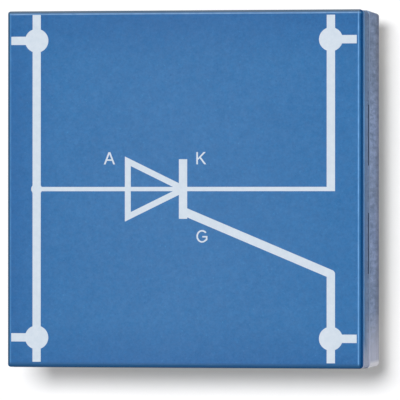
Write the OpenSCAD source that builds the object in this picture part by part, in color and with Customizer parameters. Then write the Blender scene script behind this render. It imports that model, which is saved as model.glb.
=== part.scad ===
// Square plug-in module that holds one thyristor.
// A blue lid with a printed circuit symbol snaps onto a clear base with four 4 mm plugs.
// The face looks along +Z and the module stands on the tips of its plugs at z = 0.

/* [Housing] */
// Width of the square face
face_w = 60; // [54:0.5:72]
// Height of the housing, from its underside to the face
housing_h = 24; // [20.5:0.5:32]
// Height of the lid's side
lid_side_h = 3; // [2.6:0.1:4]
// Thickness of the lid's plate
lid_plate_t = 2.2; // [1.4:0.1:2.5]
// Radius of the lid's upright corners
lid_corner_r = 0.6; // [0.4:0.1:3]
// Rounding along the upper edge of the lid
lid_edge_r = 0.5; // [0.3:0.1:1]
// How far the base stands out past the lid
base_overhang = 0.1; // [0.05:0.05:0.8]
// Wall of the base above its foot
base_wall = 1.3; // [1.1:0.1:1.7]
// Floor of the base
base_floor = 2; // [1.6:0.1:3]
// Height of the foot, the wider lower part of the base
foot_h = 13.5; // [10:0.5:16]
// How far the foot stands out past the wall above it
foot_step = 0.15; // [0.05:0.05:1]
// Radius of the base's upright corners
base_corner_r = 0.7; // [0.5:0.1:3]
// Rounding along the lower edge of the base
base_edge_r = 0.8; // [0.4:0.1:1.5]
// Radius of the upright corners inside the base
cavity_corner_r = 1; // [0.5:0.1:2]

/* [Snap fit] */
// Thickness of the lid's skirt and of its four tongues
skirt_t = 1.2; // [0.8:0.1:1.6]
// How far the skirt reaches down into the base
skirt_h = 2.5; // [1.5:0.1:3.5]
// Gap between the skirt and the wall of the base
skirt_gap = 0.15; // [0.05:0.05:0.3]
// Length of each window in the base's side walls
window_l = 10.3; // [6:0.1:14]
// Height of each window, up from the foot's step
window_h = 1.1; // [0.9:0.1:1.6]
// From the middle of a side to the near end of each window
window_y = 4; // [2:0.5:6]
// How deep a tongue's hook reaches into the wall of the base
hook_depth = 0.7; // [0.4:0.1:1]
// Gap round a hook in its window
hook_gap = 0.15; // [0.05:0.05:0.3]
// Thickness of the ribs under the lid
rib_t = 1; // [0.8:0.1:1.5]
// How far the ribs stand down from the lid's plate
rib_h = 1.4; // [0.8:0.1:2]
// Distance between two parallel ribs
rib_pitch = 18; // [10:1:26]

/* [Plugs] */
// From the edge of the face to the middle of a plug
plug_inset = 5; // [4.9:0.1:7]
// Diameter of a plug where it leaves the housing
plug_d = 4; // [3.6:0.1:4.4]
// Length of a plug below the housing
plug_l = 17; // [14:0.5:24]
// Length of the full-diameter shoulder under the housing
shoulder_l = 3.2; // [2:0.1:5]
// Diameter of the tip
tip_d = 3.6; // [3.2:0.1:3.6]
// Length of the tip
tip_l = 2.8; // [2.4:0.1:4]
// Radius of the flat at the end of the tip
tip_flat_r = 0.7; // [0.4:0.1:1.2]
// Diameter of the neck that carries the contact spring
neck_d = 2.3; // [1.8:0.1:2.5]
// Diameter of the collar that sits in the underside
collar_d = 7; // [6:0.1:7.4]
// Thickness of the collar
collar_t = 1.2; // [0.8:0.1:1.5]
// Gap round the collar
collar_gap = 0.1; // [0.05:0.05:0.3]
// Diameter of the threaded shanks
thread_d = 2.9; // [2.4:0.1:3]
// Gap round a shank in plastic and board
shank_gap = 0.15; // [0.1:0.05:0.25]
// Gap round a shank in its nut
thread_gap = 0.05; // [0.02:0.01:0.08]
// Length of shank that shows above its nut
shank_end = 0.8; // [0.3:0.1:1.2]

/* [Contact springs] */
// Greatest diameter of the bowed spring
spring_d = 4.5; // [4.2:0.1:4.8]
// Thickness of the spring strip
spring_t = 0.2; // [0.15:0.01:0.25]
// Number of lamellae in a spring
lamellae = 8; // [6:2:10]
// Width of the slots between the lamellae
spring_slot = 0.45; // [0.3:0.05:0.6]
// Height of the closed band at each end
spring_band = 0.8; // [0.6:0.1:1.5]
// Gap between the spring and the pin that it sits on
spring_gap = 0.06; // [0.03:0.01:0.1]

/* [Fasteners] */
// Width of a nut across its flats
nut_af = 5.5; // [5:0.1:5.8]
// Thickness of a nut
nut_t = 2.4; // [1.8:0.1:2.6]
// Chamfer on the corners of a nut
nut_chamfer = 0.3; // [0.2:0.1:0.4]
// Diameter of a washer
washer_d = 7; // [6:0.1:7.3]
// Thickness of a washer
washer_t = 0.5; // [0.4:0.1:0.8]
// Diameter of the tab screw's head
screw_head_d = 5.5; // [5:0.1:6]
// Height of the tab screw's head
screw_head_h = 2; // [1.5:0.1:2.2]
// Width of the slot in the screw head
screw_slot_w = 0.8; // [0.6:0.1:1]

/* [Circuit board] */
// Thickness of the board
board_t = 1.6; // [1:0.1:2]
// Gap between the board's edge and the wall of the base
board_gap = 0.3; // [0.2:0.1:0.6]
// Height of the bosses that carry the board
boss_h = 5.6; // [5.3:0.1:7]
// Diameter of the bosses
boss_d = 8.4; // [8.1:0.1:9.4]
// Thickness of the copper tracks
copper_t = 0.1; // [0.07:0.01:0.2]
// From the board's edge to the copper
copper_margin = 0.3; // [0.2:0.1:0.6]
// Diameter of the copper round each shank
land_d = 7.4; // [6.4:0.1:8]
// Width of the wide tracks
track_w = 2.4; // [1.2:0.1:3]
// Width of the tracks between the thyristor's leads
fine_track_w = 1.7; // [1.2:0.1:1.8]
// Diameter of the solder pads
pad_d = 2.1; // [1.8:0.1:2.2]
// Diameter of the holes for the thyristor's leads
lead_hole_d = 1.1; // [1.05:0.05:1.3]
// Height of the solder joints
solder_h = 1.1; // [0.6:0.1:1.4]
// Diameter of a solder joint at its foot
solder_d = 2; // [1.6:0.1:2.1]
// Diameter of a solder joint at its top
solder_top_d = 1.04; // [1:0.02:1.3]
// Length of lead that shows above its solder joint
lead_end = 0.3; // [0.2:0.1:0.6]

/* [Thyristor] */
// Width of the moulded case
case_w = 10.2; // [9.8:0.1:10.6]
// Length of the moulded case
case_l = 9.2; // [8.6:0.1:9.8]
// Thickness of the moulded case with its tab
case_t = 4.5; // [4.1:0.1:4.8]
// Inward slope of the case's faces, from its parting line out
case_draft = 0.25; // [0.1:0.05:0.5]
// Length of the tab that stands out of the case
tab_l = 6.4; // [6:0.1:7]
// Width of the tab
tab_w = 10; // [9.4:0.1:10]
// Thickness of the tab
tab_t = 1.3; // [1:0.1:1.4]
// Hole in the tab
tab_hole_d = 3.7; // [3.3:0.1:3.9]
// From the end of the tab to the middle of its hole
tab_hole_x = 2.8; // [2.6:0.1:3]
// Chamfer on the tab's outer corners
tab_chamfer = 0.9; // [0.3:0.1:1.2]
// Distance between neighbouring leads
lead_pitch = 2.54; // [2.4:0.02:2.6]
// Width of a lead's ends
lead_w = 0.8; // [0.6:0.05:0.85]
// Width of a lead beside the case
lead_root_w = 1.2; // [0.9:0.1:1.4]
// Thickness of a lead
lead_t = 0.5; // [0.4:0.05:0.6]
// From the board to the middle of the leads
lead_drop = 2.65; // [2.45:0.05:2.8]
// From the case to the row of lead holes
lead_reach = 3.2; // [2.4:0.1:4.5]
// Inner radius of the bend in the leads
bend_r = 0.5; // [0.3:0.1:0.8]
// From the end of the case to the end of the tab's pad inside it
pad_end = 1.8; // [1.6:0.1:2.4]
// From the side of the case to the side of the tab's pad
pad_side = 1; // [0.8:0.1:1.5]
// Length of a side lead's paddle inside the case
paddle_l = 2.2; // [2:0.1:2.6]
// Width of a paddle
paddle_w = 1.6; // [1.4:0.1:2]
// Width of the silicon chip
chip_w = 3.6; // [3:0.1:4]
// Thickness of the silicon chip
chip_t = 0.35; // [0.25:0.05:0.5]
// Diameter of the cathode's bond wire
cathode_wire_d = 0.38; // [0.3:0.02:0.5]
// Diameter of the gate's bond wire
gate_wire_d = 0.2; // [0.16:0.02:0.25]
// How far the bond wires bow out
wire_bow = 1; // [0.8:0.1:1.1]

/* [Printed symbol] */
// Thickness of the print
print_t = 0.05; // [0.03:0.01:0.1]
// Width of the wide lines
wide_line = 1.4; // [1:0.1:1.8]
// Width of the thin line from anode to cathode
thin_line = 0.72; // [0.5:0.02:1]
// Diameter of the dots that mark the plugs
dot_d = 4; // [3:0.1:4.5]
// Diameter of the dot where the thin line meets the left rail
junction_d = 1.86; // [1.6:0.02:2.4]
// From the flat face's edge to the ends of the side stubs and of the upper left rail
stub_inset = 0.15; // [0:0.05:0.5]
// From the flat face's edge to the ends of the other rails
rail_inset = 0.4; // [0:0.05:0.6]
// Length of the triangle
triangle_l = 11.2; // [9:0.1:13]
// Width of the triangle's back
triangle_w = 10.94; // [9:0.02:13]
// How far the triangle's tip passes the middle of the cathode bar
triangle_tip = 1.3; // [0.8:0.1:1.5]
// Width of the triangle's outline
triangle_line = 1; // [0.7:0.05:1.2]
// Height of the cathode bar
bar_h = 10; // [8.5:0.1:12]
// From the thin line down to where the gate line leaves the bar
gate_start = 3.7; // [2.5:0.1:4]
// From the thin line down to the bend in the gate line
gate_bend = 14.2; // [10:0.1:18]

/* [Hidden] */
$fn = 48;

// How far a cut runs past what it cuts
past = 1;

// Levels, from the plug tips up
underside_z = plug_l;
floor_z = underside_z + base_floor;
step_z = underside_z + foot_h;
face_z = underside_z + housing_h;
joint_z = face_z - lid_side_h;
plate_z = face_z - lid_plate_t;
board_z = floor_z + boss_h;
copper_z = board_z + board_t;
washer_z = copper_z + copper_t;
nut_z = washer_z + washer_t;
shank_top_z = nut_z + nut_t + shank_end;

// Half widths of the housing
base_half = face_w / 2 + base_overhang;
foot_half = base_half + foot_step;
cavity_half = base_half - base_wall;
skirt_half = cavity_half - skirt_gap;
pocket_half = skirt_half - skirt_t;
board_half = cavity_half - board_gap;
flat_half = face_w / 2 - lid_edge_r;

// Plugs
plug_at = face_w / 2 - plug_inset;
CORNERS = [[-1, 1], [1, 1], [-1, -1], [1, -1]];
tip_r = tip_d / 2;
tip_centre_z = sqrt(tip_r * tip_r - tip_flat_r * tip_flat_r);
shoulder_z = underside_z - shoulder_l;
shank_hole_d = thread_d + 2 * shank_gap;
nut_hole_d = thread_d + 2 * thread_gap;

// Contact spring: two bands on the neck and an arc between them
spring_low_z = tip_l + spring_gap;
spring_high_z = shoulder_z - spring_gap;
spring_mid_z = (spring_low_z + spring_high_z) / 2;
band_r = neck_d / 2 + spring_gap;
bow_chord = spring_high_z - spring_low_z - spring_band;
bow_rise = spring_d / 2 - spring_t - band_r;
bow_r = bow_chord * bow_chord / (8 * bow_rise) + bow_rise / 2;

// Thyristor, flat against the board with its leads towards +X
tab_end_x = -(tab_l + case_l) / 2;
case_x = tab_end_x + tab_l;
case_end_x = case_x + case_l;
screw_x = tab_end_x + tab_hole_x;
lead_x = case_end_x + lead_reach;
lead_z = board_z - lead_drop;
case_front_z = board_z - case_t;
mount_pad_l = case_l - pad_end;
mount_pad_w = case_w - 2 * pad_side;
mount_pad_end_x = case_x + mount_pad_l;
chip_x = case_x + mount_pad_l / 2;
chip_z = board_z - tab_t - chip_t;
bend_x = lead_x - lead_t / 2 - bend_r;
bend_z = lead_z + lead_t / 2 + bend_r;
lead_top_z = washer_z + solder_h + lead_end;

// A rounded square in the plan, centred on the axis
module rounded_square(half, r) {
    square([2 * half, 2 * (half - r)], center = true);
    square([2 * (half - r), 2 * half], center = true);
    for (x = [-1, 1], y = [-1, 1]) {
        translate([x * (half - r), y * (half - r)]) circle(r);
    }
}

// A side view extruded through the whole part, along Y and then along X
module both_ways(length) {
    intersection() {
        rotate([90, 0, 0]) linear_extrude(length, center = true) children();
        rotate([90, 0, 90]) linear_extrude(length, center = true) children();
    }
}

// A straight line of the print or of a track, with square ends
module stroke(from, to, width) {
    run = to - from;
    translate(from) rotate(atan2(run.y, run.x)) translate([0, -width / 2]) square([norm(run), width]);
}

// Lid
module lid_side_view() {
    translate([-face_w / 2, joint_z]) square([face_w, lid_side_h - lid_edge_r]);
    translate([-flat_half, joint_z]) square([2 * flat_half, lid_side_h]);
    for (x = [-1, 1]) {
        translate([x * flat_half, face_z - lid_edge_r]) circle(lid_edge_r);
    }
}

module lid_shell() {
    intersection() {
        translate([0, 0, joint_z]) linear_extrude(lid_side_h) rounded_square(face_w / 2, lid_corner_r);
        both_ways(2 * face_w) lid_side_view();
    }
    translate([0, 0, joint_z - skirt_h]) {
        linear_extrude(skirt_h + lid_side_h / 3) rounded_square(skirt_half, cavity_corner_r);
    }
}

module lid_ribs() {
    for (side = [-1, 1]) {
        translate([side * rib_pitch / 2 - rib_t / 2, -pocket_half - skirt_t / 2, plate_z - rib_h]) {
            cube([rib_t, 2 * pocket_half + skirt_t, rib_h + lid_plate_t / 2]);
        }
        translate([-pocket_half - skirt_t / 2, side * rib_pitch / 2 - rib_t / 2, plate_z - rib_h]) {
            cube([2 * pocket_half + skirt_t, rib_t, rib_h + lid_plate_t / 2]);
        }
    }
}

// One tongue on the +X side, with its hook in the window
module lid_tongue() {
    hook_low_z = step_z + hook_gap;
    hook_high_z = step_z + window_h - hook_gap;
    translate([0, window_y + window_l - hook_gap, 0]) rotate([90, 0, 0]) {
        linear_extrude(window_l - 2 * hook_gap) polygon([
            [pocket_half, joint_z],
            [pocket_half, step_z],
            [skirt_half, step_z],
            [skirt_half, hook_low_z],
            [cavity_half + hook_depth, (hook_low_z + hook_high_z) / 2],
            [cavity_half + hook_depth, hook_high_z],
            [skirt_half, hook_high_z],
            [skirt_half, joint_z],
        ]);
    }
}

module lid() {
    color([0.25, 0.45, 0.67]) {
        difference() {
            lid_shell();
            translate([0, 0, joint_z - skirt_h - past]) {
                linear_extrude(plate_z - joint_z + skirt_h + past) {
                    rounded_square(pocket_half, cavity_corner_r / 2);
                }
            }
        }
        lid_ribs();
        for (side = [0, 1], end = [0, 1]) {
            mirror([side, 0, 0]) mirror([0, end, 0]) lid_tongue();
        }
    }
}

// Printed circuit symbol on the face
module symbol_outline() {
    long_end = flat_half - stub_inset;
    rail_end = flat_half - rail_inset;
    for (corner = CORNERS) {
        translate(corner * plug_at) circle(d = dot_d);
        stroke(corner * plug_at, [corner.x * long_end, corner.y * plug_at], wide_line);
    }
    stroke([-plug_at, -rail_end], [-plug_at, long_end], wide_line);
    stroke([plug_at, -thin_line / 2], [plug_at, rail_end], wide_line);
    translate([-plug_at, 0]) circle(d = junction_d);
    stroke([-plug_at, 0], [plug_at, 0], thin_line);
    stroke([0, -bar_h / 2], [0, bar_h / 2], wide_line);
    stroke([0, -gate_start], [plug_at, -gate_bend], wide_line);
    translate([plug_at, -gate_bend]) circle(d = wide_line);
    stroke([plug_at, -rail_end], [plug_at, -gate_bend], wide_line);
    symbol_triangle();
}

module symbol_triangle() {
    back_x = triangle_tip - triangle_l;
    half_angle = atan2(triangle_w / 2, triangle_l);
    inner_tip_x = triangle_tip - triangle_line / sin(half_angle);
    inner_back_x = back_x + triangle_line;
    inner_half = (inner_tip_x - inner_back_x) * tan(half_angle);
    difference() {
        polygon([[back_x, -triangle_w / 2], [triangle_tip, 0], [back_x, triangle_w / 2]]);
        polygon([[inner_back_x, -inner_half], [inner_tip_x, 0], [inner_back_x, inner_half]]);
    }
}

module printed_symbol() {
    color([0.83, 0.88, 0.93]) {
        translate([0, 0, face_z]) linear_extrude(print_t) symbol_outline();
    }
}

// Base
module base_side_view() {
    translate([-foot_half, underside_z + base_edge_r]) square([2 * foot_half, housing_h]);
    translate([-foot_half + base_edge_r, underside_z]) square([2 * (foot_half - base_edge_r), housing_h]);
    for (x = [-1, 1]) {
        translate([x * (foot_half - base_edge_r), underside_z + base_edge_r]) circle(base_edge_r);
    }
}

module base_shell() {
    intersection() {
        union() {
            translate([0, 0, underside_z]) linear_extrude(foot_h) rounded_square(foot_half, base_corner_r);
            translate([0, 0, underside_z]) {
                linear_extrude(housing_h - lid_side_h) rounded_square(base_half, base_corner_r);
            }
        }
        both_ways(3 * face_w) base_side_view();
    }
}

module base_windows() {
    for (side = [0, 1], end = [0, 1]) {
        mirror([side, 0, 0]) mirror([0, end, 0]) {
            translate([cavity_half - past, window_y, step_z]) {
                cube([base_wall + foot_step + 2 * past, window_l, window_h]);
            }
        }
    }
}

module base() {
    color([0.45, 0.5, 0.6, 0.6]) {
        difference() {
            union() {
                difference() {
                    base_shell();
                    translate([0, 0, floor_z]) linear_extrude(housing_h) {
                        rounded_square(cavity_half, cavity_corner_r);
                    }
                }
                for (corner = CORNERS) {
                    translate([corner.x * plug_at, corner.y * plug_at, floor_z - base_floor / 2]) {
                        cylinder(d = boss_d, h = boss_h + base_floor / 2);
                    }
                }
            }
            for (corner = CORNERS) {
                translate([corner.x * plug_at, corner.y * plug_at, 0]) {
                    translate([0, 0, underside_z - past]) {
                        cylinder(d = shank_hole_d, h = board_z - underside_z + 2 * past);
                        cylinder(d = collar_d + 2 * collar_gap, h = collar_t + past);
                    }
                }
            }
            base_windows();
        }
    }
}

// Turned plug with a rounded tip, a neck for the spring, a collar and a threaded shank
module plug_outline() {
    intersection() {
        union() {
            translate([0, tip_centre_z]) circle(tip_r);
            translate([0, tip_centre_z]) square([tip_r, tip_l - tip_centre_z]);
        }
        square([plug_d, tip_l]);
    }
    square([neck_d / 2, shoulder_z]);
    translate([0, shoulder_z]) square([plug_d / 2, shoulder_l]);
    translate([0, underside_z]) square([collar_d / 2, collar_t]);
    translate([0, underside_z]) square([thread_d / 2, shank_top_z - underside_z]);
}

module plug_pin(x, y) {
    color([0.78, 0.76, 0.7]) {
        translate([x * plug_at, y * plug_at, 0]) rotate_extrude() {
            intersection() {
                plug_outline();
                square([collar_d, shank_top_z]);
            }
        }
    }
}

// Rolled strip with slots, whose lamellae bow out between two bands round the neck
module spring_outline() {
    for (z = [spring_low_z, spring_high_z - spring_band]) {
        translate([band_r, z]) square([spring_t, spring_band]);
    }
    intersection() {
        translate([band_r + bow_rise - bow_r, spring_mid_z]) difference() {
            circle(bow_r + spring_t, $fn = 96);
            circle(bow_r, $fn = 96);
        }
        translate([band_r, spring_low_z + spring_band / 2]) square([spring_d, bow_chord]);
    }
}

module contact_spring(x, y) {
    slot_low_z = spring_low_z + spring_band;
    slot_high_z = spring_high_z - spring_band;
    color([0.85, 0.7, 0.4]) {
        translate([x * plug_at, y * plug_at, 0]) difference() {
            rotate_extrude() spring_outline();
            for (turn = [0 : lamellae / 2 - 1]) {
                rotate(turn * 360 / lamellae) {
                    translate([-spring_d, -spring_slot / 2, slot_low_z]) {
                        cube([2 * spring_d, spring_slot, slot_high_z - slot_low_z]);
                    }
                }
            }
            translate([0, -spring_slot / 2, 0]) cube([spring_d, spring_slot, underside_z]);
        }
    }
}

// Fasteners
module nut() {
    corner_r = nut_af / 2 / cos(30);
    difference() {
        intersection() {
            cylinder(r = corner_r, h = nut_t, $fn = 6);
            rotate_extrude() polygon([
                [0, 0],
                [nut_af / 2, 0],
                [corner_r + nut_chamfer, nut_chamfer],
                [corner_r + nut_chamfer, nut_t - nut_chamfer],
                [nut_af / 2, nut_t],
                [0, nut_t],
            ]);
        }
        translate([0, 0, -past]) cylinder(d = nut_hole_d, h = nut_t + 2 * past);
    }
}

module hex_nuts() {
    color([0.75, 0.75, 0.76]) {
        for (corner = CORNERS) {
            translate([corner.x * plug_at, corner.y * plug_at, nut_z]) nut();
        }
        translate([screw_x, 0, nut_z]) nut();
    }
}

module washer() {
    difference() {
        cylinder(d = washer_d, h = washer_t);
        translate([0, 0, -past]) cylinder(d = shank_hole_d, h = washer_t + 2 * past);
    }
}

module washers() {
    color([0.72, 0.72, 0.74]) {
        for (corner = CORNERS) {
            translate([corner.x * plug_at, corner.y * plug_at, washer_z]) washer();
        }
        translate([screw_x, 0, washer_z]) washer();
    }
}

module tab_screw() {
    head_z = board_z - tab_t - screw_head_h;
    color([0.75, 0.75, 0.76]) {
        translate([screw_x, 0, head_z]) difference() {
            union() {
                cylinder(d = screw_head_d, h = screw_head_h);
                cylinder(d = thread_d, h = shank_top_z - head_z);
            }
            translate([-screw_head_d, -screw_slot_w / 2, -past]) {
                cube([2 * screw_head_d, screw_slot_w, past + screw_head_h / 2]);
            }
        }
    }
}

// Board and its copper
module board_holes() {
    for (corner = CORNERS) {
        translate([corner.x * plug_at, corner.y * plug_at]) circle(d = shank_hole_d);
    }
    translate([screw_x, 0]) circle(d = shank_hole_d);
    for (row = [-1 : 1]) {
        translate([lead_x, row * lead_pitch]) circle(d = lead_hole_d);
    }
}

module circuit_board() {
    color([0.72, 0.68, 0.45]) {
        translate([0, 0, board_z]) linear_extrude(board_t) difference() {
            rounded_square(board_half, cavity_corner_r);
            board_holes();
        }
    }
}

module copper() {
    color([0.85, 0.5, 0.3]) {
        translate([0, 0, copper_z]) linear_extrude(copper_t) difference() {
            intersection() {
                union() children();
                rounded_square(board_half - copper_margin, cavity_corner_r);
            }
            board_holes();
        }
    }
}

module anode_track() {
    copper() {
        for (y = [-1, 1]) {
            translate([-plug_at, y * plug_at]) circle(d = land_d);
        }
        translate([screw_x, 0]) circle(d = land_d);
        translate([lead_x, 0]) circle(d = pad_d);
        stroke([-plug_at, -plug_at], [-plug_at, plug_at], track_w);
        stroke([-plug_at, 0], [screw_x, 0], track_w);
        stroke([screw_x, 0], [lead_x, 0], fine_track_w);
    }
}

module cathode_track() {
    copper() {
        translate([plug_at, plug_at]) circle(d = land_d);
        translate([lead_x, lead_pitch]) circle(d = pad_d);
        stroke([lead_x, lead_pitch], [plug_at, lead_pitch], fine_track_w);
        translate([plug_at, lead_pitch]) circle(d = track_w);
        stroke([plug_at, lead_pitch], [plug_at, plug_at], track_w);
    }
}

module gate_track() {
    copper() {
        translate([plug_at, -plug_at]) circle(d = land_d);
        translate([lead_x, -lead_pitch]) circle(d = pad_d);
        stroke([lead_x, -lead_pitch], [plug_at, -plug_at / 2], fine_track_w);
        translate([plug_at, -plug_at / 2]) circle(d = track_w);
        stroke([plug_at, -plug_at / 2], [plug_at, -plug_at], track_w);
    }
}

module solder_joints() {
    color([0.7, 0.7, 0.72]) {
        for (row = [-1 : 1]) {
            translate([lead_x, row * lead_pitch, washer_z]) difference() {
                cylinder(d1 = solder_d, d2 = solder_top_d, h = solder_h);
                translate([-lead_t / 2, -lead_w / 2, -past]) cube([lead_t, lead_w, solder_h + 2 * past]);
            }
        }
    }
}

// Thyristor leads: a flat stretch, a bend and a narrower post through the board
module lead_flat(from_x) {
    translate([from_x, lead_z - lead_t / 2]) square([bend_x - from_x, lead_t]);
    translate([bend_x, bend_z]) intersection() {
        difference() {
            circle(bend_r + lead_t);
            circle(bend_r);
        }
        translate([0, -bend_r - lead_t]) square(bend_r + lead_t);
    }
}

module upright(width) {
    translate([0, width / 2, 0]) rotate([90, 0, 0]) linear_extrude(width) children();
}

module lead(from_x) {
    upright(lead_root_w) lead_flat(from_x);
    upright(lead_w) translate([lead_x - lead_t / 2, bend_z]) square([lead_t, lead_top_z - bend_z]);
}

module side_lead(row) {
    color([0.75, 0.75, 0.77]) translate([0, row * lead_pitch, 0]) {
        lead(case_end_x - paddle_l / 2);
        translate([case_end_x - paddle_l, -paddle_w / 2, lead_z - lead_t / 2]) {
            cube([paddle_l * 0.8, paddle_w, lead_t]);
        }
    }
}

module cathode_lead() {
    side_lead(1);
}

module gate_lead() {
    side_lead(-1);
}

// Copper tab that carries the chip, in one piece with the anode lead
module tab_outline() {
    polygon([
        [tab_end_x + tab_chamfer, -tab_w / 2],
        [case_x, -tab_w / 2],
        [case_x, -mount_pad_w / 2],
        [mount_pad_end_x, -mount_pad_w / 2],
        [mount_pad_end_x, mount_pad_w / 2],
        [case_x, mount_pad_w / 2],
        [case_x, tab_w / 2],
        [tab_end_x + tab_chamfer, tab_w / 2],
        [tab_end_x, tab_w / 2 - tab_chamfer],
        [tab_end_x, -tab_w / 2 + tab_chamfer],
    ]);
}

module anode_tab() {
    color([0.77, 0.76, 0.74]) {
        translate([0, 0, board_z - tab_t]) linear_extrude(tab_t) difference() {
            tab_outline();
            translate([screw_x, 0]) circle(d = tab_hole_d);
        }
        lead(mount_pad_end_x - lead_t);
        upright(lead_root_w) translate([mount_pad_end_x - lead_t, lead_z - lead_t / 2]) {
            square([lead_t, board_z - tab_t / 2 - lead_z + lead_t / 2]);
        }
    }
}

module thyristor_chip() {
    color([0.35, 0.37, 0.42]) {
        translate([chip_x - chip_w / 2, -chip_w / 2, chip_z]) cube([chip_w, chip_w, chip_t]);
    }
}

// Bond wire from the chip's face to a side lead's face: an arc cut off level with both faces
module bond_wire(from, to, wire_d) {
    run = to - from;
    span = norm(run);
    drop = chip_z - (lead_z - lead_t / 2);
    chord = norm([span, drop]);
    tilt = atan2(drop, span);
    arc_r = chord * chord / (8 * wire_bow) + wire_bow / 2;
    color([0.8, 0.8, 0.82]) {
        translate([from.x, from.y, chip_z]) rotate(atan2(run.y, run.x)) rotate([90, 0, 0]) intersection() {
            rotate(-tilt) translate([chord / 2, arc_r - wire_bow, 0]) rotate_extrude($fn = 64) {
                translate([arc_r, 0]) circle(d = wire_d, $fn = 24);
            }
            translate([0, 0, -wire_d]) linear_extrude(2 * wire_d) polygon([
                [-span, 0],
                [span / 2, 0],
                [span / 2, -drop],
                [2 * span, -drop],
                [2 * span, -2 * arc_r],
                [-span, -2 * arc_r],
            ]);
        }
    }
}

module cathode_wire() {
    bond_wire(
        [chip_x + chip_w / 4, chip_w / 4],
        [case_end_x - paddle_l * 0.6, lead_pitch],
        cathode_wire_d
    );
}

module gate_wire() {
    bond_wire(
        [chip_x + chip_w / 3, -chip_w / 3],
        [case_end_x - paddle_l * 0.6, -lead_pitch],
        gate_wire_d
    );
}

module thyristor_case() {
    half_w = case_w / 2;
    color([0.12, 0.12, 0.13]) difference() {
        intersection() {
            upright(2 * case_w) polygon([
                [case_x, board_z],
                [case_end_x - case_draft, board_z],
                [case_end_x, lead_z],
                [case_end_x - case_draft, case_front_z],
                [case_x + case_draft, case_front_z],
                [case_x, lead_z],
            ]);
            rotate([90, 0, 90]) linear_extrude(4 * case_l, center = true) polygon([
                [-half_w + case_draft, board_z],
                [-half_w, lead_z],
                [-half_w + case_draft, case_front_z],
                [half_w - case_draft, case_front_z],
                [half_w, lead_z],
                [half_w - case_draft, board_z],
            ]);
        }
        anode_tab();
        cathode_lead();
        gate_lead();
        thyristor_chip();
        cathode_wire();
        gate_wire();
    }
}

lid();
printed_symbol();
base();
circuit_board();
anode_track();
cathode_track();
gate_track();
plug_pin(-1, 1);  // plug_pin_upper_left
plug_pin(1, 1);  // plug_pin_upper_right
plug_pin(-1, -1);  // plug_pin_lower_left
plug_pin(1, -1);  // plug_pin_lower_right
contact_spring(-1, 1);  // contact_spring_upper_left
contact_spring(1, 1);  // contact_spring_upper_right
contact_spring(-1, -1);  // contact_spring_lower_left
contact_spring(1, -1);  // contact_spring_lower_right
washers();
hex_nuts();
tab_screw();
thyristor_case();
anode_tab();
cathode_lead();
gate_lead();
thyristor_chip();
cathode_wire();
gate_wire();
solder_joints();
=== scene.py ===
import math

import bmesh
import bpy
from mathutils import Matrix, Vector

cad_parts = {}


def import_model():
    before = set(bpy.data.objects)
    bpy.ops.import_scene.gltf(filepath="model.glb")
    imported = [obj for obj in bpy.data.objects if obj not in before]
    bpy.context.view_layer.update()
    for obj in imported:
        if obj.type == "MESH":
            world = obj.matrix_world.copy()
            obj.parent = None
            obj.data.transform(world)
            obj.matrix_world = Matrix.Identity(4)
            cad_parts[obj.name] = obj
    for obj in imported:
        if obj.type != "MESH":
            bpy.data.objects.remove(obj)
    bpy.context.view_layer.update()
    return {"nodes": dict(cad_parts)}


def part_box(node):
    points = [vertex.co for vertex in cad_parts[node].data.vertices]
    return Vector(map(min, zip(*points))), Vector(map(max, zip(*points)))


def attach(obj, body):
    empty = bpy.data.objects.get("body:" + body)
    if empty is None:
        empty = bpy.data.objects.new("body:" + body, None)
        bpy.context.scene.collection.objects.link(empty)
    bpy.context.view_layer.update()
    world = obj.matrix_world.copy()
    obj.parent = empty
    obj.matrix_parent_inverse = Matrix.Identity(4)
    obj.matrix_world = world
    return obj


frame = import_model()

# Sizes from the frame. Lengths are in metres, with the face towards +Z.
NODES = frame["nodes"]
MM = 0.001
FACE_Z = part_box("lid")[1].z
PRINT_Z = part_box("printed_symbol")[1].z
LID_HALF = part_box("lid")[1].x
BASE_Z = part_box("base")[0].z
JOINT_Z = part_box("base")[1].z

# Sizes inside the nodes, as they are built
RIM_RADIUS = 0.5 * MM
WALL_HALF = 30.1 * MM
STEP_Z = 30.5 * MM
WINDOW_H = 1.1 * MM
WINDOW_NEAR = 4 * MM
WINDOW_FAR = 14.3 * MM
# Width of the sharpest borders between tones
HAIR = 0.01 * MM


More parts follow.
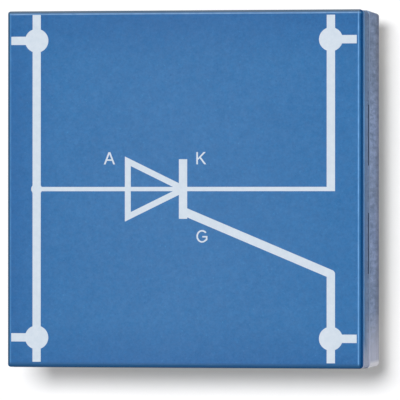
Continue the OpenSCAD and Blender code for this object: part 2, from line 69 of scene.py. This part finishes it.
# Node helpers
class Build:
    """A material's node tree with a Principled shader, and short calls for the nodes that feed it."""

    def __init__(self, name, **values):
        self.material = bpy.data.materials.new(name)
        self.material.use_nodes = True
        self.tree = self.material.node_tree
        self.tree.nodes.clear()
        self.out = self.node("OutputMaterial")
        self.shader = self.node("BsdfPrincipled")
        self.tree.links.new(self.shader.outputs[0], self.out.inputs[0])
        self.where = self.node("TexCoord").outputs["Object"]
        for key, value in values.items():
            self.shader.inputs[key.replace("_", " ")].default_value = value

    def node(self, kind):
        return self.tree.nodes.new("ShaderNode" + kind)

    def link(self, source, node, key):
        """Feeds a socket with another node's output or with a value."""
        if isinstance(source, bpy.types.NodeSocket):
            self.tree.links.new(source, node.inputs[key])
        else:
            node.inputs[key].default_value = source

    def scaled(self, factors):
        """Coordinates stretched by the given factors."""
        n = self.node("Mapping")
        n.inputs["Scale"].default_value = factors
        self.link(self.where, n, "Vector")
        return n.outputs[0]

    def noise(self, size, detail=2.0, rough=0.5, where=None, distortion=0.0):
        """Noise whose lumps are about size metres across."""
        n = self.node("TexNoise")
        self.link(where or self.where, n, "Vector")
        n.inputs["Scale"].default_value = 1 / size
        n.inputs["Detail"].default_value = detail
        n.inputs["Roughness"].default_value = rough
        n.inputs["Distortion"].default_value = distortion
        return n.outputs["Fac"]

    def cells(self, size):
        """Distance from the nearest of the points scattered about size metres apart."""
        n = self.node("TexVoronoi")
        self.link(self.where, n, "Vector")
        n.inputs["Scale"].default_value = 1 / size
        return n.outputs["Distance"]

    def wave(self, size, direction):
        """Bands about size metres wide across a direction."""
        n = self.node("TexWave")
        n.bands_direction = direction
        self.link(self.where, n, "Vector")
        n.inputs["Scale"].default_value = 0.314 / size
        return n.outputs["Fac"]

    def ramp(self, fac, low, high, from_low=0.3, from_high=0.7):
        """A number or a colour that goes from low to high as fac goes between its two ends."""
        if isinstance(low, (int, float)):
            n = self.node("MapRange")
            self.link(fac, n, "Value")
            n.inputs["From Min"].default_value = from_low
            n.inputs["From Max"].default_value = from_high
            n.inputs["To Min"].default_value = low
            n.inputs["To Max"].default_value = high
            return n.outputs[0]
        n = self.node("ValToRGB")
        n.color_ramp.elements[0].position = from_low
        n.color_ramp.elements[0].color = (*low, 1)
        n.color_ramp.elements[1].position = from_high
        n.color_ramp.elements[1].color = (*high, 1)
        self.link(fac, n, "Fac")
        return n.outputs["Color"]

    def levels(self, value, stops):
        """A colour that goes through stops, each given as the value where it stands and the colour."""
        start, end = stops[0][0], stops[-1][0]
        n = self.node("ValToRGB")
        self.link(self.ramp(value, 0.0, 1.0, start, end), n, "Fac")
        points = n.color_ramp.elements
        points[0].position, points[1].position = 0.0, 1.0
        for at, colour in stops[1:-1]:
            points.new((at - start) / (end - start)).color = (*colour, 1)
        points[0].color = (*stops[0][1], 1)
        points[len(points) - 1].color = (*stops[-1][1], 1)
        return n.outputs["Color"]

    def mix(self, fac, a, b, kind="MIX"):
        n = self.node("Mix")
        n.data_type = "RGBA"
        n.blend_type = kind
        for key, value in ((0, fac), (6, a), (7, b)):
            if isinstance(value, tuple) and len(value) == 3:
                value = (*value, 1)
            self.link(value, n, key)
        return n.outputs[2]

    def tinted(self, colour, factors):
        return self.mix(1.0, colour, factors, "MULTIPLY")

    def math(self, kind, a, b=0.0):
        n = self.node("Math")
        n.operation = kind
        self.link(a, n, 0)
        self.link(b, n, 1)
        return n.outputs[0]

    def times(self, first, *others):
        for other in others:
            first = self.math("MULTIPLY", first, other)
        return first

    def most(self, first, *others):
        for other in others:
            first = self.math("MAXIMUM", first, other)
        return first

    def axes(self):
        """X, Y and Z of the point."""
        n = self.node("SeparateXYZ")
        self.link(self.where, n, 0)
        return n.outputs["X"], n.outputs["Y"], n.outputs["Z"]

    def bump(self, height, depth):
        """Bump of the given depth in metres for a height that goes from 0 to 1."""
        n = self.node("Bump")
        n.inputs["Distance"].default_value = depth
        self.link(height, n, "Height")
        return n.outputs[0]

    def band(self, value, low, high, soft):
        """1 where the value lies between low and high, with soft ends outside them."""
        rise = self.ramp(value, 0.0, 1.0, low - soft, low)
        return self.times(rise, self.ramp(value, 1.0, 0.0, high, high + soft))

    def finish(self, colour, roughness=None, normal=None):
        for source, key in ((colour, "Base Color"), (roughness, "Roughness"), (normal, "Normal")):
            if source is not None:
                self.link(source, self.shader, key)
        return self.material


def dress(material, *names):
    for name in names:
        for slot in NODES[name].material_slots:
            slot.material = material


# Blue plastic of the lid: a fine grain, light and dark dots, painted shade towards the margins and on the
# side wall, painted highlight lines on three rims, and painted shade and reflection on the rims' outer
# parts
HAZE = (0.0085, 0.0082, 0.0078)
FLAT = LID_HALF - RIM_RADIUS


def grained_blue(b):
    tone = b.ramp(b.noise(9 * MM, 3, 0.6), (0.0142, 0.1235, 0.321), (0.0178, 0.1315, 0.333))
    grain = b.ramp(b.noise(0.42 * MM, 3, 0.7), (0.85, 0.885, 0.90), (1.15, 1.115, 1.10))
    mottle = b.ramp(b.noise(1.6 * MM, 3, 0.7), (0.90, 0.955, 0.96), (1.10, 1.045, 1.04))
    colour = b.tinted(tone, b.tinted(grain, mottle))
    for size, share, tint in (
        (0.87 * MM, 0.5, (1.55, 1.26, 1.15)),
        (0.79 * MM, 0.48, (0.50, 0.78, 0.87)),
    ):
        dots = b.ramp(b.cells(size), 1.0, 0.0, 0.10, 0.17)
        some = b.ramp(b.noise(1.3 * size, 0), 0.0, 1.0, share, share + 0.12)
        colour = b.mix(b.times(dots, some), colour, b.tinted(colour, tint))
    fine_haze = b.ramp(b.noise(0.3 * MM, 1), (0, 0, 0), HAZE)
    wide_haze = b.ramp(b.noise(1.1 * MM, 2), (0, 0, 0), HAZE)
    return b.mix(1.0, colour, b.mix(1.0, fine_haze, wide_haze, "ADD"), "ADD")


def blue_plastic():
    b = Build("blue_plastic", Specular_IOR_Level=0.0, Coat_Roughness=0.2)
    colour = grained_blue(b)
    x, y, z = b.axes()
    left, lower = b.times(x, -1.0), b.times(y, -1.0)
    # Painted shade: the lid grows darker towards its -X, +Y and -Y margins
    shaded_margin = b.ramp(b.most(left, y, b.math("SUBTRACT", lower, 0.8 * MM)), 0.0, 1.0, FLAT - 8 * MM, FLAT)
    colour = b.mix(shaded_margin, colour, b.tinted(colour, (0.70, 0.82, 0.90)))
    patchy = b.ramp(b.noise(1.4 * MM, 3, 0.6), 0.6, 1.0)
    # Painted highlight: a light line where the face turns into the rim, strongest on +X, weaker on +Y,
    # faint on -X, none on -Y
    for side, start, share, wear_and_highlight in (
        (x, 0.08, 1.0, (0.155, 0.36, 0.68)),
        (y, -0.1, 0.8, (0.22, 0.38, 0.60)),
        (left, -0.06, 0.5, (0.11, 0.30, 0.56)),
    ):
        line = b.band(side, FLAT + start * MM, FLAT + (start + 0.12) * MM, 0.1 * MM)
        colour = b.mix(b.times(line, share, patchy), colour, wear_and_highlight)
    face = b.ramp(z, 0.0, 1.0, FACE_Z - RIM_RADIUS, FACE_Z - 0.8 * RIM_RADIUS)
    # Painted shade darkens the lid's side wall below the rim; its lowest 0.9 mm by the joint takes a
    # lighter blue
    by_the_joint = b.ramp(z, 1.0, 0.0, JOINT_Z, JOINT_Z + 0.9 * MM)
    shaded_side_wall = b.mix(by_the_joint, b.tinted(colour, (0.15, 0.62, 0.8)), (0.055, 0.21, 0.50))
    colour = b.mix(face, shaded_side_wall, colour)
    # On the rims' outer parts: painted reflection in grey on +Y, painted shade on -X and -Y
    for side, start, width, painted_edge in (
        (y, 0.06, 0.12, (0.105, 0.16, 0.225)),
        (left, 0.08, 0.12, (0.03, 0.09, 0.17)),
        (lower, -0.42, 0.5, (0.014, 0.075, 0.185)),
    ):
        past = b.ramp(side, 0.0, 1.0, FLAT + start * MM, FLAT + (start + width) * MM)
        colour = b.mix(b.times(face, past), colour, painted_edge)
    b.link(b.ramp(z, 0.015, 0.3, FACE_Z - 0.15 * MM, FACE_Z - 0.02 * MM), b.shader, "Coat Weight")
    rough = b.ramp(b.noise(1.1 * MM, 4, 0.65), 0.52, 0.62)
    return b.finish(colour, rough, b.bump(b.noise(0.16 * MM, 2, 0.6), 0.006 * MM))


def white_print():
    b = Build("white_print", Specular_IOR_Level=0.3)
    colour = b.ramp(b.noise(0.9 * MM, 4, 0.7), (0.535, 0.607, 0.68), (0.60, 0.66, 0.725))
    rough = b.ramp(b.noise(0.5 * MM, 2), 0.55, 0.7)
    return b.finish(colour, rough, b.bump(b.noise(0.12 * MM, 2), 0.004 * MM))


# Clear plastic of the base: what lies inside shows head on, the satin surface at grazing angles.
# Tones of the satin surface up the wall, which paint what the wall reflects and shows through: the lid's
# blue under the joint, brightest at the joint as painted light, a darker blue above the step, paler grey in
# the foot, and darker towards the bottom
TONES_UP = [
    (BASE_Z, (0.09, 0.125, 0.23)),
    (BASE_Z + 3.0 * MM, (0.09, 0.125, 0.23)),
    (BASE_Z + 5.2 * MM, (0.14, 0.20, 0.345)),
    (BASE_Z + 6.4 * MM, (0.165, 0.24, 0.415)),
    (STEP_Z - 1.0 * MM, (0.165, 0.245, 0.42)),
    (STEP_Z + 1.7 * MM, (0.088, 0.172, 0.33)),
    (STEP_Z + 4.2 * MM, (0.036, 0.150, 0.32)),
    (STEP_Z + 5.5 * MM, (0.025, 0.140, 0.335)),
    (JOINT_Z - 1.0 * MM, (0.03, 0.25, 0.585)),
    (JOINT_Z, (0.06, 0.47, 1.0)),
]
# Tints of those tones along the wall
TINTS_ALONG = [
    (-30 * MM, (0.87, 0.92, 0.96)),
    (-17 * MM, (0.82, 0.90, 0.97)),
    (-8 * MM, (0.83, 0.94, 1.07)),
    (0, (0.80, 0.88, 0.95)),
    (11 * MM, (1.04, 1.11, 1.19)),
    (18 * MM, (0.88, 0.93, 0.97)),
    (26 * MM, (0.84, 0.90, 0.94)),
    (30 * MM, (0.62, 0.72, 0.80)),
]
LEDGE_TONE = (0.22, 0.30, 0.43)
# Painted shade in the windows and over them, and the dark rim at the joint
SHADE_AND_JOINT_TONE = (0.0, 0.02, 0.09)


def base_openings(b, across, along, outer, z):
    """1 inside the windows and on the arch over each, for painted shade, and on the rim that meets the lid,
    for a dark joint.
    """
    inside = b.ramp(outer, 1.0, 0.0, WALL_HALF - 3 * HAIR, WALL_HALF - HAIR)
    in_row = b.band(z, STEP_Z - HAIR, STEP_Z + WINDOW_H + HAIR, HAIR)
    window = b.times(inside, in_row, b.ramp(along, 1.0, 0.0, 16 * MM, 16.1 * MM))
    over = b.band(z, STEP_Z + WINDOW_H, STEP_Z + WINDOW_H + 0.15 * MM, 0.15 * MM)
    beside = b.band(along, WINDOW_NEAR, WINDOW_FAR, 0.1 * MM)
    arch = b.times(over, beside, b.ramp(across, 0.0, 0.8, WALL_HALF - 3 * HAIR, WALL_HALF - HAIR))
    rim = b.ramp(z, 0.0, 1.0, JOINT_Z - 3 * HAIR, JOINT_Z - HAIR)
    return b.most(window, arch, rim)


def painted_paler_end(b, colour, x, y, z):
    """The +X wall is painted paler towards its -Y end, most in the foot, as painted light, and its lower
    corner gets a painted highlight.
    """
    this_wall = b.ramp(x, 0.0, 1.0, 20 * MM, 25 * MM)
    low = b.ramp(z, 1.0, 0.0, STEP_Z, JOINT_Z - 2 * MM)
    pale_low = b.times(b.ramp(y, 0.0, 0.8, -20.5 * MM, -28 * MM), low)
    pale = b.times(b.most(pale_low, b.ramp(y, 0.0, 0.65, -25 * MM, -29 * MM)), this_wall)
    in_foot = b.ramp(z, 1.0, 0.0, STEP_Z - 0.5 * MM, STEP_Z)
    corner = b.times(b.ramp(y, 0.0, 0.8, -29.0 * MM, -29.6 * MM), in_foot, this_wall)
    lines = b.ramp(b.noise(1.6 * MM, 2, 0.6, b.scaled((1, 0.1, 1))), (0.80, 0.83, 0.86), (1.20, 1.17, 1.14))
    colour = b.mix(pale, colour, b.tinted((0.50, 0.52, 0.65), lines))
    return b.mix(corner, colour, (0.88, 0.86, 0.90))


def clear_plastic():
    b = Build("clear_plastic", IOR=1.25, Transmission_Weight=0.1)
    x, y, z = b.axes()
    across, along = b.math("ABSOLUTE", x), b.math("ABSOLUTE", y)
    outer = b.most(across, along)
    streaks = b.noise(0.75 * MM, 3, 0.6, b.scaled((1, 1, 0.13)), 0.4)
    clouds = b.noise(5 * MM, 3, 0.6, b.scaled((1, 1, 0.3)), 0.3)
    lively = b.ramp(z, 1.0, 0.15, STEP_Z + 0.5 * MM, STEP_Z + 5 * MM)
    streaky = b.ramp(streaks, (0.40, 0.55, 0.63), (1.60, 1.45, 1.37))
    tone = b.mix(lively, b.levels(z, TONES_UP), streaky, "MULTIPLY")
    tone = b.tinted(tone, b.ramp(clouds, (0.80, 0.88, 0.93), (1.20, 1.12, 1.07)))
    tone = b.tinted(tone, b.levels(y, TINTS_ALONG))
    ledge = b.ramp(outer, 0.0, 1.0, WALL_HALF - 0.9 * MM, WALL_HALF - 0.88 * MM)
    ledge = b.times(ledge, b.band(z, STEP_Z - HAIR, STEP_Z + HAIR, HAIR))
    shade_and_joint = base_openings(b, across, along, outer, z)
    colour = painted_paler_end(b, b.mix(ledge, tone, LEDGE_TONE), x, y, z)
    rough = b.ramp(b.noise(1.2 * MM, 3, 0.6), 0.5, 0.6)
    skin = b.bump(b.noise(1.6 * MM, 3, 0.55, distortion=0.5), 0.03 * MM)
    b.finish(b.mix(shade_and_joint, colour, SHADE_AND_JOINT_TONE), rough, skin)

    flow = b.noise(1.5 * MM, 4, 0.65, b.scaled((1, 1, 0.6)), 0.8)
    clear = b.node("BsdfPrincipled")
    clear.inputs["IOR"].default_value = 1.45
    clear.inputs["Transmission Weight"].default_value = 1.0
    b.link(b.ramp(flow, (0.74, 0.81, 0.90), (0.84, 0.89, 0.96)), clear, "Base Color")
    b.link(b.ramp(flow, 0.04, 0.1), clear, "Roughness")
    b.link(b.bump(b.noise(6 * MM, 2), 0.05 * MM), clear, "Normal")

    facing = b.node("LayerWeight")
    facing.inputs["Blend"].default_value = 0.5
    grazing = b.ramp(facing.outputs["Facing"], 0.0, 1.0, 0.7, 0.86)
    both = b.node("MixShader")
    b.link(b.most(grazing, ledge, shade_and_joint), both, 0)
    b.link(clear.outputs[0], both, 1)
    b.link(b.shader.outputs[0], both, 2)
    b.link(both.outputs[0], b.out, 0)
    return b.material


# Materials of what lies inside and underneath
def laminate():
    b = Build("board_laminate", Roughness=0.42)
    weave = b.times(b.wave(0.42 * MM, "X"), b.wave(0.42 * MM, "Y"))
    cloud = b.noise(3 * MM, 3, 0.6)
    colour = b.mix(weave, (0.33, 0.34, 0.11), (0.47, 0.44, 0.19))
    colour = b.tinted(colour, b.ramp(cloud, (0.9, 0.9, 0.88), (1.05, 1.05, 1.05)))
    return b.finish(colour, b.ramp(cloud, 0.36, 0.5), b.bump(weave, 0.01 * MM))


def metal(name, dark, light, rough, grain, depth, spread=0.06, stretch=(1, 1, 1)):
    """Metal whose grain has a size and depth in millimetres and is stretched where drawn or turned."""
    b = Build(name, Metallic=1.0)
    fine = b.noise(grain * MM, 3, 0.7, b.scaled(stretch))
    cloud = b.noise(2.5 * MM, 3, 0.6)
    colour = b.mix(b.ramp(fine, 0.0, 0.5), b.ramp(cloud, dark, light), light)
    wear_and_highlight = b.math("ADD", b.ramp(cloud, rough - spread, rough + spread), b.ramp(fine, -0.03, 0.03))
    return b.finish(colour, wear_and_highlight, b.bump(fine, depth * MM))


def black_epoxy():
    b = Build("black_epoxy", Specular_IOR_Level=0.45)
    spark = b.noise(0.09 * MM, 3, 0.7)
    cloud = b.noise(1.8 * MM, 3)
    colour = b.ramp(cloud, (0.012, 0.012, 0.013), (0.02, 0.02, 0.021))
    colour = b.mix(b.ramp(spark, 0.0, 0.6), colour, (0.035, 0.035, 0.036))
    return b.finish(colour, b.ramp(cloud, 0.5, 0.66), b.bump(spark, 0.01 * MM))


def silicon():
    b = Build("silicon", Metallic=0.6)
    cloud = b.noise(1.2 * MM, 2)
    return b.finish(b.ramp(cloud, (0.08, 0.09, 0.12), (0.13, 0.14, 0.18)), b.ramp(cloud, 0.12, 0.2))


PRINT_INK = white_print()
COPPER = metal(
    "copper", (0.62, 0.27, 0.14), (0.86, 0.46, 0.29),
    rough=0.34, grain=0.3, depth=0.004,
)
BRASS = metal(
    "plated_brass", (0.60, 0.57, 0.50), (0.74, 0.72, 0.67),
    rough=0.24, grain=0.08, depth=0.003, spread=0.05, stretch=(0.12, 0.12, 1),
)
BRONZE = metal(
    "spring_bronze", (0.62, 0.45, 0.22), (0.82, 0.66, 0.40),
    rough=0.26, grain=0.07, depth=0.003, spread=0.05, stretch=(1, 1, 0.1),
)
ZINC = metal(
    "zinc_plated_steel", (0.50, 0.51, 0.53), (0.68, 0.69, 0.71),
    rough=0.32, grain=0.25, depth=0.004,
)
TIN = metal(
    "tinned_copper", (0.56, 0.55, 0.53), (0.72, 0.71, 0.69),
    rough=0.30, grain=0.2, depth=0.005,
)
WIRE = metal(
    "aluminium_wire", (0.70, 0.70, 0.72), (0.82, 0.82, 0.84),
    rough=0.25, grain=0.1, depth=0.002,
)
SOLDER = metal(
    "solder", (0.48, 0.48, 0.50), (0.68, 0.68, 0.70),
    rough=0.22, grain=0.3, depth=0.01,
)

dress(blue_plastic(), "lid")
dress(PRINT_INK, "printed_symbol")
dress(clear_plastic(), "base")
dress(laminate(), "circuit_board")
dress(COPPER, "anode_track", "cathode_track", "gate_track")
dress(BRASS, *[n for n in NODES if n.startswith("plug_pin")])
dress(BRONZE, *[n for n in NODES if n.startswith("contact_spring")])
dress(ZINC, "washers", "hex_nuts", "tab_screw")
dress(black_epoxy(), "thyristor_case")
dress(TIN, "anode_tab", "cathode_lead", "gate_lead")
dress(silicon(), "thyristor_chip")
dress(WIRE, "cathode_wire", "gate_wire")
dress(SOLDER, "solder_joints")


# Terminal letters, printed like the symbol. Their outlines are in millimetres from the lower left corner.
def plate_from_loops(name, loops, low_z, high_z, material):
    """A thin solid plate whose outline and holes are the given loops of (x, y) points in metres."""
    bm = bmesh.new()
    for loop in loops:
        verts = [bm.verts.new((x, y, low_z)) for x, y in loop]
        for a, b in zip(verts, verts[1:] + verts[:1]):
            bm.edges.new((a, b))
    bmesh.ops.triangle_fill(bm, use_beauty=True, use_dissolve=False, edges=bm.edges[:])
    top = bmesh.ops.extrude_face_region(bm, geom=bm.faces[:])["geom"]
    raised = [v for v in top if isinstance(v, bmesh.types.BMVert)]
    bmesh.ops.translate(bm, vec=(0, 0, high_z - low_z), verts=raised)
    bmesh.ops.recalc_face_normals(bm, faces=bm.faces[:])
    mesh = bpy.data.meshes.new(name)
    bm.to_mesh(mesh)
    bm.free()
    mesh.materials.append(material)
    piece = bpy.data.objects.new(name, mesh)
    bpy.context.scene.collection.objects.link(piece)
    return piece


LETTER_H = 2.05


def letter_a(width=1.9, line=0.29, apex=0.32, bar=(0.60, 0.84)):
    lean = (width / 2 - apex / 2) / LETTER_H
    low, high = ((line + y * lean, y) for y in bar)
    peak = (width / 2, (width / 2 - line) / lean)
    outline = [(0, 0), (line, 0), low, (width - low[0], low[1]), (width - line, 0), (width, 0)]
    outline += [(width / 2 + apex / 2, LETTER_H), (width / 2 - apex / 2, LETTER_H)]
    return [outline, [high, (width - high[0], high[1]), peak]]


def letter_k(line=0.27):
    stem = [(0, 0), (0, LETTER_H), (line, LETTER_H)]
    upper_arm = [(line, 1.02), (1.22, LETTER_H), (1.60, LETTER_H), (0.76, 1.20)]
    lower_arm = [(1.67, 0), (1.33, 0), (0.56, 1.01), (line, 0.72), (line, 0)]
    return [stem + upper_arm + lower_arm]


def letter_g(steps=28):
    def arc(rx, ry, start, end):
        turns = [math.radians(start + (end - start) * i / steps) for i in range(steps + 1)]
        return [(0.96 + rx * math.cos(t), 1.02 + ry * math.sin(t)) for t in turns]

    spur = [(1.87, 0.40), (1.87, 1.08), (1.02, 1.08), (1.02, 0.83), (1.60, 0.83), (1.60, 0.52)]
    return [arc(0.96, 1.06, 38, 312) + spur + arc(0.69, 0.80, 320, 40)]


for name, loops, x, y in (
    ("letter_anode", letter_a(), -13.5, 4.15),
    ("letter_cathode", letter_k(), 2.26, 4.15),
    ("letter_gate", letter_g(), 2.27, -8.95),
):
    placed = [[((x + px) * MM, (y + py) * MM) for px, py in loop] for loop in loops]
    letter = plate_from_loops(name, placed, FACE_Z, PRINT_Z, PRINT_INK)
    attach(letter, "root")


# Floor and surroundings, which show white to the camera, to metal and through clear plastic
FLOOR_HALF = 3.0
GLOW_NEAR, GLOW_FAR = 0.2, 1.0
NEAR, FAR = 0.15, 0.7


def seen_rays(tree):
    """1 for rays that come from the camera, or that metal or clear plastic sends on."""
    ray = tree.nodes.new("ShaderNodeLightPath")
    best = ray.outputs["Is Camera Ray"]
    for key in ("Is Glossy Ray", "Is Transmission Ray"):
        n = tree.nodes.new("ShaderNodeMath")
        n.operation = "MAXIMUM"
        tree.links.new(best, n.inputs[0])
        tree.links.new(ray.outputs[key], n.inputs[1])
        best = n.outputs[0]
    return best


def floor():
    """A pale floor that keeps the shadow, glows more with distance, and can be seen through from below."""
    bm = bmesh.new()
    bmesh.ops.create_grid(bm, x_segments=1, y_segments=1, size=FLOOR_HALF)
    mesh = bpy.data.meshes.new("floor")
    bm.to_mesh(mesh)
    bm.free()
    piece = bpy.data.objects.new("floor", mesh)
    piece.location = (0, 0, -2 * HAIR)
    bpy.context.scene.collection.objects.link(piece)
    b = Build("floor", Roughness=0.9, Specular_IOR_Level=0.0)
    b.finish(b.ramp(b.noise(40 * MM, 2), (0.955, 0.955, 0.96), (0.97, 0.97, 0.975)))
    away = b.node("VectorMath")
    away.operation = "LENGTH"
    b.link(b.where, away, 0)
    glow = b.ramp(away.outputs["Value"], GLOW_NEAR, GLOW_FAR, NEAR, FAR)
    glowing = b.node("MixShader")
    b.link(b.times(seen_rays(b.tree), glow), glowing, 0)
    b.link(b.shader.outputs[0], glowing, 1)
    b.link(b.node("Emission").outputs[0], glowing, 2)
    below = b.node("MixShader")
    b.link(b.node("NewGeometry").outputs["Backfacing"], below, 0)
    b.link(glowing.outputs[0], below, 1)
    b.link(b.node("BsdfTransparent").outputs[0], below, 2)
    b.link(below.outputs[0], b.out, 0)
    mesh.materials.append(b.material)


def world(strength, colour):
    sky = bpy.data.worlds.new("world")
    bpy.context.scene.world = sky
    sky.use_nodes = True
    tree = sky.node_tree
    tree.nodes.clear()
    out = tree.nodes.new("ShaderNodeOutputWorld")
    lit = tree.nodes.new("ShaderNodeBackground")
    lit.inputs["Color"].default_value = (*colour, 1)
    lit.inputs["Strength"].default_value = strength
    white = tree.nodes.new("ShaderNodeBackground")
    white.inputs["Color"].default_value = (1, 1, 1, 1)
    white.inputs["Strength"].default_value = 1.0
    mix = tree.nodes.new("ShaderNodeMixShader")
    tree.links.new(seen_rays(tree), mix.inputs[0])
    tree.links.new(lit.outputs[0], mix.inputs[1])
    tree.links.new(white.outputs[0], mix.inputs[2])
    tree.links.new(mix.outputs[0], out.inputs[0])


# Light and camera
LAMP_DISTANCE = 1.2
SENSOR = 36
CAMERA_AT = (130.3 * MM, -3.82 * MM, 841 * MM)
CAMERA_TURN = (("Y", 9.05), ("X", 0.14), ("Z", 0.02))
LENS_PER_WIDTH = 12.079


def lamp(name, towards, size, power, gloss=True):
    """An oval lamp that faces the middle of the lid. Its size is given along X and along Y."""
    data = bpy.data.lights.new(name, "AREA")
    data.shape = "ELLIPSE"
    data.size, data.size_y = size
    data.energy = power
    piece = bpy.data.objects.new(name, data)
    way = Vector(towards).normalized()
    across = Vector((0, 1, 0)).cross(way).normalized()
    piece.location = Vector((0, 0, FACE_Z)) + way * LAMP_DISTANCE
    piece.rotation_mode = "QUATERNION"
    piece.rotation_quaternion = Matrix((across, way.cross(across), way)).transposed().to_quaternion()
    piece.visible_glossy = gloss
    bpy.context.scene.collection.objects.link(piece)


def photo_camera():
    """The photo's view of the face and of the +X wall, without a shift."""
    data = bpy.data.cameras.new("camera")
    data.sensor_width = SENSOR
    data.lens = LENS_PER_WIDTH * SENSOR
    camera = bpy.data.objects.new("camera", data)
    turn = Matrix.Identity(4)
    for axis, degrees in CAMERA_TURN:
        turn = turn @ Matrix.Rotation(math.radians(degrees), 4, axis)
    camera.rotation_mode = "QUATERNION"
    camera.rotation_quaternion = turn.to_quaternion()
    camera.location = CAMERA_AT
    bpy.context.scene.collection.objects.link(camera)
    bpy.context.scene.camera = camera


floor()
lamp("key", (0.045, 0.080, 1), (0.205, 0.138), 13.6, gloss=False)
lamp("sheen", (-0.165, 0, 1), (0.07, 0.24), 0.36)
world(0.2, (0.95, 0.98, 1.06))
photo_camera()
bpy.context.scene.view_settings.view_transform = "Standard"
